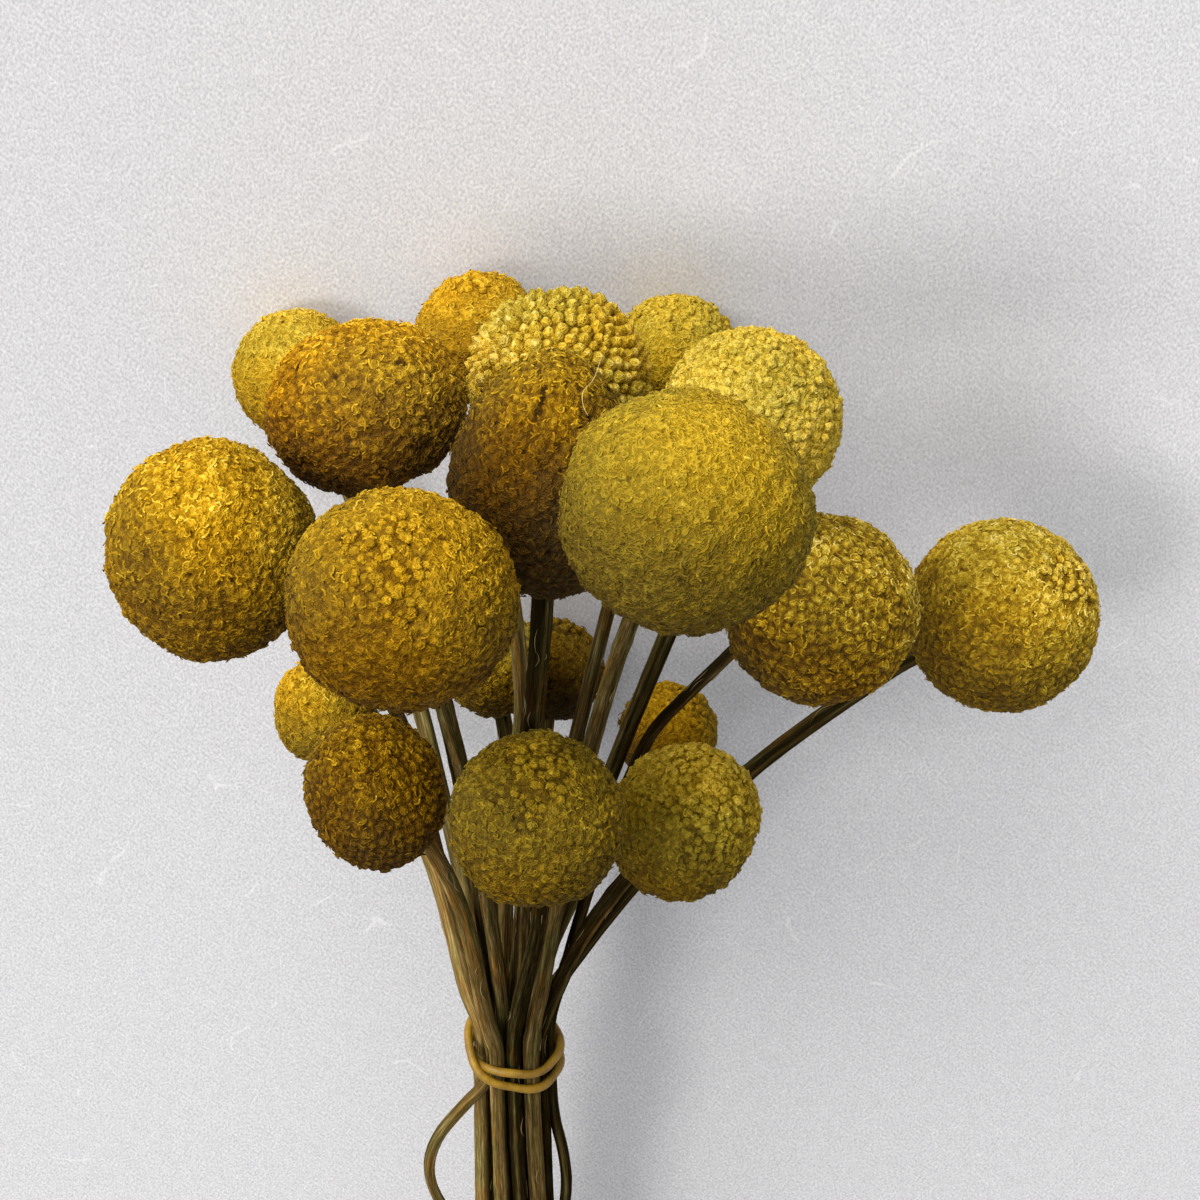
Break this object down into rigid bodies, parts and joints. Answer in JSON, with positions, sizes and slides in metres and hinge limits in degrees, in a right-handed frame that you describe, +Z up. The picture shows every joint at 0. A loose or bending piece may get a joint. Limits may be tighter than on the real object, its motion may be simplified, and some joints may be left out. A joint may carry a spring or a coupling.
{
  "type": "dried billy button bunch",
  "caption": "Tied bunch of dried globe flowers with ball-shaped heads on thin woody stems, held by a twice-wound rubber band, lying on its back on a table.",
  "frame": {"origin": "bottom centre of the bunch's bounding box, on the surface that it lies on", "axes": "+Z up, +Y along the stems from the heads to the cut ends, +X to the side away from the lone head that leans furthest out"},
  "size_m": [0.1363, 0.3896, 0.1183],
  "materials": {
    "head_golden": "matt, tightly packed golden florets",
    "head_lemon": "matt, tightly packed lemon to olive florets",
    "head_olive": "matt, tightly packed olive-yellow florets and buds",
    "head_orange": "matt, tightly packed deep golden florets",
    "stem": "dry, dull grey-brown bark with fine ribs along it",
    "band": "smooth mustard rubber, slightly glossy"
  },
  "bodies": {
    "root": {"head_01": "head_golden", "head_02": "head_golden", "head_03": "head_orange", "head_04": "head_orange", "head_05": "head_olive", "head_06": "head_golden", "head_07": "head_lemon", "head_08": "head_lemon", "head_09": "head_lemon", "head_10": "head_golden", "head_11": "head_golden", "head_12": "head_golden", "head_13": "head_golden", "head_14": "head_golden", "head_15": "head_lemon", "head_16": "head_lemon", "head_17": "head_golden", "head_18": "head_olive", "head_19": "head_olive", "stem_01": "stem", "stem_02": "stem", "stem_03": "stem", "stem_04": "stem", "stem_05": "stem", "stem_06": "stem", "stem_07": "stem", "stem_08": "stem", "stem_09": "stem", "stem_10": "stem", "stem_11": "stem", "stem_12": "stem", "stem_13": "stem", "stem_14": "stem", "stem_15": "stem", "stem_16": "stem", "stem_17": "stem", "stem_18": "stem", "stem_19": "stem", "band": "band"}
  },
  "joints": []
}
